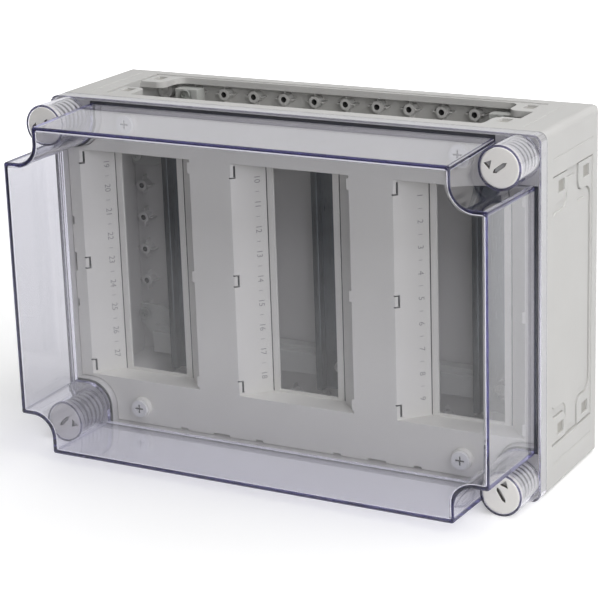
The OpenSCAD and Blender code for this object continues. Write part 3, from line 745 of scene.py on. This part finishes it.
@dataclass
class FrontMask:
    """Inner cover with three recessed slots, their numbers and its white screws."""

    plate_radius: float = 0.4
    screw_radius: float = 0.3
    front_y: float = 6.5
    back_y: float = 9.0
    near: float = 0.05
    skin: float = 0.3
    groove_at: float = 28.65
    groove_half: float = 0.5
    groove_bottom: float = 26.8
    slit_half: float = 0.65
    slit_at: float = 44.0
    slit_bottom: float = 12.0
    hook: float = 3.2
    screw_x: float = 128.3
    screw_z: float = 105.0
    screw_front: float = 0.5
    cross_depth: float = 1.2
    cross_reach: float = 3.6
    latch_reach: float = 6.5
    latch_length: float = 12.0
    latch_share: float = 0.25
    slot_pitch: float = 125.0
    flank_out: Vector = field(default_factory=lambda: Vector((-46.0, 6.5, 0.0)))
    flank_in: Vector = field(default_factory=lambda: Vector((-29.05, 26.0, 0.0)))
    numbers_in: float = 6.5
    number_size: float = 6.0
    number_rise: float = 0.15
    number_curve: int = 3
    module_pitch: float = 18.0
    modules: int = 9
    tick_length: float = 2.8
    tick_width: float = 0.35
    tick_edge: float = 0.08
    first_numbers: dict[str, int] = field(default_factory=lambda: {"left": 19, "middle": 10, "right": 1})

    def build(self) -> None:
        """Build and dress the mask, its screws and its numbers."""
        plate = MASK.material()
        mask = RoundedPart("front_mask", Slot.MASK, Body.ENCLOSURE, self.plate_radius)
        recess_shade = SLIT_SHADE.material()
        # Painted shade in the flank grooves and latch slits of the mask.
        mask.line(mask.build(plate, self.share), recess_shade, self.in_slit)
        white = WHITE_SCREWS.material()
        screws = RoundedPart("mask_screws", Slot.WHITE, Body.ENCLOSURE, self.screw_radius)
        # Painted shade in the cross recesses of the mask screws.
        screws.line(screws.build(white), recess_shade, self.in_cross)
        RoundedPart("mask_posts", Slot.POST, Body.ENCLOSURE, self.screw_radius).build(POSTS.material())
        # Painted shade: numbers and ticks take a darker grey than the mask so their relief shows.
        marks = NUMBER_SHADE.material()
        for place, name in enumerate(self.first_numbers):
            self.number_row(name, (place - 1) * self.slot_pitch, marks)

    def share(self, one: Vector, two: Vector, convex: bool) -> float:
        """Give the share of the radius for an edge of the mask.

        Args:
            one: First end in the drawing frame.
            two: Second end in the drawing frame.
            convex: Whether the edge stands out.

        Returns:
            None in inside corners and at the back of the plate, little at the latch slits, else the
            whole radius.
        """
        ends = (one, two)
        if not convex or all(abs(end.y - self.back_y) < self.near for end in ends):
            return 0.0
        beside = all(abs(self.from_slot(end) - self.flank_out.x) < self.latch_reach for end in ends)
        if beside and (one - two).length < self.latch_length:
            return self.latch_share
        return 1.0

    def from_slot(self, point: Vector) -> float:
        """Give the distance of a point along X from the middle of its slot."""
        half = self.slot_pitch / 2.0
        return (point.x + half) % self.slot_pitch - half

    def in_slit(self, middle: Vector) -> bool:
        """Say whether a face lies inside a flank groove or a latch slit.

        Args:
            middle: Middle of the face in the drawing frame.

        Returns:
            Whether it does.
        """
        aside = self.from_slot(middle)
        floor = self.flank_in.y + self.skin
        if abs(abs(aside) - self.groove_at) < self.groove_half and floor < middle.y:
            return middle.y < self.groove_bottom + self.near
        beside = -self.hook < aside + self.slit_at < self.slit_half
        spot = Vector((aside, middle.y, 0.0)) - self.flank_out
        buried = spot.dot(self.flank_normal()) < -self.skin
        return beside and buried and self.front_y + self.skin < middle.y < self.slit_bottom + self.near

    def in_cross(self, middle: Vector) -> bool:
        """Say whether a face lies inside the cross recess of a mask screw.

        Args:
            middle: Middle of the face in the drawing frame.

        Returns:
            Whether it does.
        """
        reach = math.hypot(abs(middle.x) - self.screw_x, abs(middle.z) - self.screw_z)
        depth = middle.y - self.screw_front
        return reach < self.cross_reach and self.skin < depth < self.cross_depth + self.near

    def flank_normal(self) -> Vector:
        """Give the direction out of the left flank of a slot."""
        up = (self.flank_in - self.flank_out).normalized()
        return Vector((up.y, -up.x, 0.0))

    def flank_frame(self, middle: float, height: float) -> Matrix:
        """Give the frame of a mark on the left flank of a slot.

        Args:
            middle: Middle of the slot along X.
            height: Height of the mark from the middle of the mask.

        Returns:
            Frame with X along the reading direction and Z out of the flank.
        """
        up = (self.flank_in - self.flank_out).normalized()
        along = Vector((0.0, 0.0, -1.0))
        out = self.flank_normal()
        spot = self.flank_in - up * self.numbers_in
        place = DRAWING.point(middle + spot.x, spot.y, height)
        turned = Matrix((along, up, out)).transposed().to_4x4()
        return Matrix.Translation(place) @ turned

    def number_row(self, name: str, middle: float, marks: bpy.types.Material) -> None:
        """Build the numbers of one slot and the ticks between them.

        Args:
            name: Name of the slot.
            middle: Middle of the slot along X.
            marks: Material of the numbers, darker than the mask as painted shade of their relief.
        """
        shape = bmesh.new()
        top = (self.modules - 1) / 2.0 * self.module_pitch
        for module in range(self.modules):
            height = top - module * self.module_pitch
            self.add_number(shape, self.first_numbers[name] + module, self.flank_frame(middle, height))
            if module < self.modules - 1:
                self.add_tick(shape, self.flank_frame(middle, height - self.module_pitch / 2.0))
        mesh = bpy.data.meshes.new(f"numbers_{name}_mesh")
        shape.to_mesh(mesh)
        shape.free()
        piece = put_in_scene(f"numbers_{name}", mesh)
        piece.data.materials.append(marks)
        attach(piece, Body.ENCLOSURE.value)
        LOG.info("%s: %d faces", piece.name, len(mesh.polygons))

    def add_number(self, shape: bmesh.types.BMesh, number: int, place: Matrix) -> None:
        """Add one raised number to a mesh.

        Args:
            shape: Mesh that takes the number.
            number: Number to write.
            place: Frame of the number.
        """
        curve = bpy.data.curves.new("number", "FONT")
        curve.body = str(number)
        curve.size = self.number_size * MM
        curve.align_x = "CENTER"
        curve.align_y = "CENTER"
        curve.extrude = self.number_rise * MM
        curve.resolution_u = self.number_curve
        holder = bpy.data.objects.new("number", curve)
        mesh = bpy.data.meshes.new_from_object(holder)
        mesh.transform(place)
        shape.from_mesh(mesh)
        bpy.data.objects.remove(holder)
        bpy.data.meshes.remove(mesh)
        bpy.data.curves.remove(curve)

    def add_tick(self, shape: bmesh.types.BMesh, place: Matrix) -> None:
        """Add one raised tick to a mesh.

        Args:
            shape: Mesh that takes the tick.
            place: Frame of the tick.
        """
        size = Vector((self.tick_width, self.tick_length, 2.0 * self.number_rise)) * MM
        scaled = Matrix.Diagonal((*size, 1.0))
        made = bmesh.ops.create_cube(shape, size=1.0, matrix=place @ scaled)
        edges = {edge for vertex in made["verts"] for edge in vertex.link_edges}
        bmesh.ops.bevel(shape, geom=list(edges), offset=self.tick_edge * MM, segments=1, affect="EDGES")


@dataclass
class MountingFrame:
    """Top hat rails on two carriers, with their steel screws."""

    rail_radius: float = 0.9
    carrier_radius: float = 0.4
    screw_radius: float = 0.3
    rails: tuple[str, ...] = ("rail_left", "rail_middle", "rail_right")
    carriers: tuple[str, ...] = ("carrier_upper", "carrier_lower")
    screws: tuple[str, ...] = ("rail_screws", "carrier_screws")

    def build(self) -> None:
        """Build and dress the rails, the carriers and the screws."""
        zinc = RAILS.material()
        for name in self.rails:
            RoundedPart(name, Slot.RAIL, Body.ENCLOSURE, self.rail_radius).build(zinc)
        grey = CARRIERS.material()
        for name in self.carriers:
            RoundedPart(name, Slot.CARRIER, Body.ENCLOSURE, self.carrier_radius).build(grey)
        steel = STEEL.material()
        for name in self.screws:
            RoundedPart(name, Slot.STEEL, Body.ENCLOSURE, self.screw_radius).build(steel)


@dataclass(frozen=True)
class Softbox:
    """Area lamp that looks at a point."""

    name: str
    place: Triple
    size: float
    power: float
    target: Triple = (0.0, 0.0, 0.12)
    mirrored: bool = True

    def build(self) -> None:
        """Hang the lamp."""
        lamp = bpy.data.lights.new(self.name, "AREA")
        lamp.energy = self.power
        lamp.size = self.size
        holder = put_in_scene(self.name, lamp)
        holder.location = self.place
        aim = Vector(self.target) - Vector(self.place)
        holder.rotation_euler = aim.to_track_quat("-Z", "Y").to_euler()
        holder.visible_transmission = False
        holder.visible_camera = False
        holder.visible_glossy = self.mirrored


@dataclass
class Studio:
    """White floor, soft light and the camera of the view."""

    camera_at: Triple = (0.68883, -1.24297, 0.55436)
    azimuth: float = 28.965
    elevation: float = 17.201
    roll: float = -1.897
    lens: float = 128.1
    sensor: float = 36.0
    floor_size: float = 12.0
    floor_white: Colour = (0.85, 0.85, 0.85)
    paper_grain: float = 0.01
    paper_share: float = 0.99
    near_glow: float = 0.28
    far_glow: float = 0.85
    glow_start: float = 0.15
    glow_end: float = 1.25
    front_start: float = 0.35
    front_end: float = 0.7
    front_white: float = 0.25
    ambient: float = 0.18
    mirror_white: float = 0.8
    front_grey: float = 0.3
    front_edge: float = 0.4
    bounces: int = 64
    lamps: tuple[Softbox, ...] = (
        Softbox("top_softbox", (0.7, 0.0, 1.9), 1.5, 24.0, mirrored=False),
        Softbox("right_softbox", (1.9, -0.6, 0.9), 1.4, 11.5, mirrored=False),
        Softbox("front_softbox", (1.3, -1.6, 1.0), 1.2, 18.5),
        Softbox("back_softbox", (-1.4, 1.7, 1.0), 1.6, 13.0, mirrored=False),
    )

    def build(self) -> None:
        """Set up the whole studio."""
        self.aim_camera()
        self.lay_floor()
        self.light_world()
        for lamp in self.lamps:
            lamp.build()
        scene = bpy.context.scene
        scene.view_settings.view_transform = "Standard"
        scene.cycles.max_bounces = self.bounces
        scene.cycles.glossy_bounces = self.bounces
        scene.cycles.transmission_bounces = self.bounces
        scene.cycles.transparent_max_bounces = self.bounces
        scene.cycles.caustics_reflective = False
        scene.cycles.caustics_refractive = False

    def aim_camera(self) -> None:
        """Place the camera at the viewing angle."""
        turn, tilt, bank = (math.radians(a) for a in (self.azimuth, self.elevation, self.roll))
        level = Vector((math.cos(turn), math.sin(turn), 0.0))
        inward = Vector((-math.sin(turn), math.cos(turn), 0.0))
        ahead = math.cos(tilt) * inward - Vector((0.0, 0.0, math.sin(tilt)))
        up = level.cross(ahead)
        right = math.cos(bank) * level + math.sin(bank) * up
        top = -math.sin(bank) * level + math.cos(bank) * up
        camera = bpy.data.cameras.new("view_camera")
        camera.lens = self.lens
        camera.sensor_width = self.sensor
        holder = put_in_scene("view_camera", camera)
        axes = Matrix((right, top, -ahead)).transposed().to_4x4()
        holder.matrix_world = Matrix.Translation(self.camera_at) @ axes
        bpy.context.scene.camera = holder

    def lay_floor(self) -> None:
        """Lay the white floor under the enclosure."""
        half = self.floor_size / 2.0
        corners = [(-half, -half, 0.0), (half, -half, 0.0), (half, half, 0.0), (-half, half, 0.0)]
        mesh = bpy.data.meshes.new("studio_floor")
        mesh.from_pydata(corners, [], [(0, 1, 2, 3)])
        mesh.materials.append(self.paper())
        floor = put_in_scene("studio_floor", mesh)

    def paper(self) -> bpy.types.Material:
        """Make the paper of the floor.

        It turns grey towards the viewer, where the floor of a real studio ends; the camera alone sees
        it white all over.

        Returns:
            The new material.
        """
        made = bpy.data.materials.new("studio_paper")
        wiring = Wiring(made)
        where = wiring.object_coordinates()
        along = wiring.add("SeparateXYZ", {"Vector": where}).outputs["Y"]
        white = wiring.mapped(along, (-self.front_end, -self.front_start), (self.front_white, 1.0))
        grain = wiring.noise(where, self.paper_grain)
        sheet = wiring.ramp(grain, shaded(self.floor_white, self.paper_share), self.floor_white)
        toned = wiring.add("VectorMath", {"Vector": sheet, "Scale": white}, operation="SCALE")
        diffuse = wiring.add("BsdfDiffuse", {"Color": toned.outputs["Vector"]})
        away = wiring.add("VectorMath", {"Vector": where}, operation="LENGTH").outputs["Value"]
        spread = wiring.mapped(away, (self.glow_start, self.glow_end), (self.near_glow, self.far_glow))
        path = wiring.add("LightPath").outputs
        camera = path["Is Camera Ray"]
        seen = wiring.math(Operation.MAXIMUM, path["Is Glossy Ray"], path["Is Transmission Ray"])
        seen = wiring.math(Operation.MAXIMUM, seen, camera)
        plain = wiring.math(Operation.MULTIPLY, spread, white)
        plain = wiring.math(Operation.MULTIPLY, seen, plain)
        lost = wiring.math(Operation.SUBTRACT, 1.0, white)
        lost = wiring.math(Operation.MULTIPLY, camera, lost)
        strength = wiring.math(Operation.ADD, plain, lost)
        glow = wiring.add("Emission", {"Color": WHITE_LIGHT, "Strength": strength})
        both = wiring.add("AddShader")
        wiring.feed(both.inputs[0], diffuse.outputs["BSDF"])
        wiring.feed(both.inputs[1], glow.outputs["Emission"])
        wiring.surface(both, "Shader")
        return made

    def light_world(self) -> None:
        """Fill the world with even light that is greyer on the side of the viewer.

        Mirrors and glass see it brighter than it lights the object; the camera alone sees it white all
        round.
        """
        world = bpy.data.worlds.new("studio_world")
        bpy.context.scene.world = world
        wiring = Wiring(world, "OutputWorld")
        direction = wiring.add("TexCoord").outputs["Generated"]
        ahead = wiring.add("SeparateXYZ", {"Vector": direction}).outputs["Y"]
        edge = (-self.front_edge, self.front_edge)
        tone = wiring.mapped(ahead, edge, (self.front_grey, 1.0), smooth=True)
        path = wiring.add("LightPath").outputs
        level = wiring.mapped(path["Is Glossy Ray"], (0.0, 1.0), (self.ambient, self.mirror_white))
        light = wiring.math(Operation.MULTIPLY, level, tone)
        through = wiring.math(Operation.MULTIPLY, path["Is Transmission Ray"], tone)
        seen = wiring.math(Operation.MAXIMUM, path["Is Camera Ray"], through)
        strength = wiring.math(Operation.MAXIMUM, light, seen)
        sky = wiring.add("Background", {"Color": WHITE_LIGHT, "Strength": strength})
        wiring.surface(sky, "Background")


def main() -> None:
    """Build the sub-assemblies in order."""
    logging.basicConfig(level=logging.INFO, format="%(message)s")
    for assembly in (Housing(), MountingFrame(), FrontMask(), ClearHood(), CoverScrews(), Studio()):
        LOG.info("building %s", type(assembly).__name__)
        assembly.build()


if __name__ == "__main__":
    main()
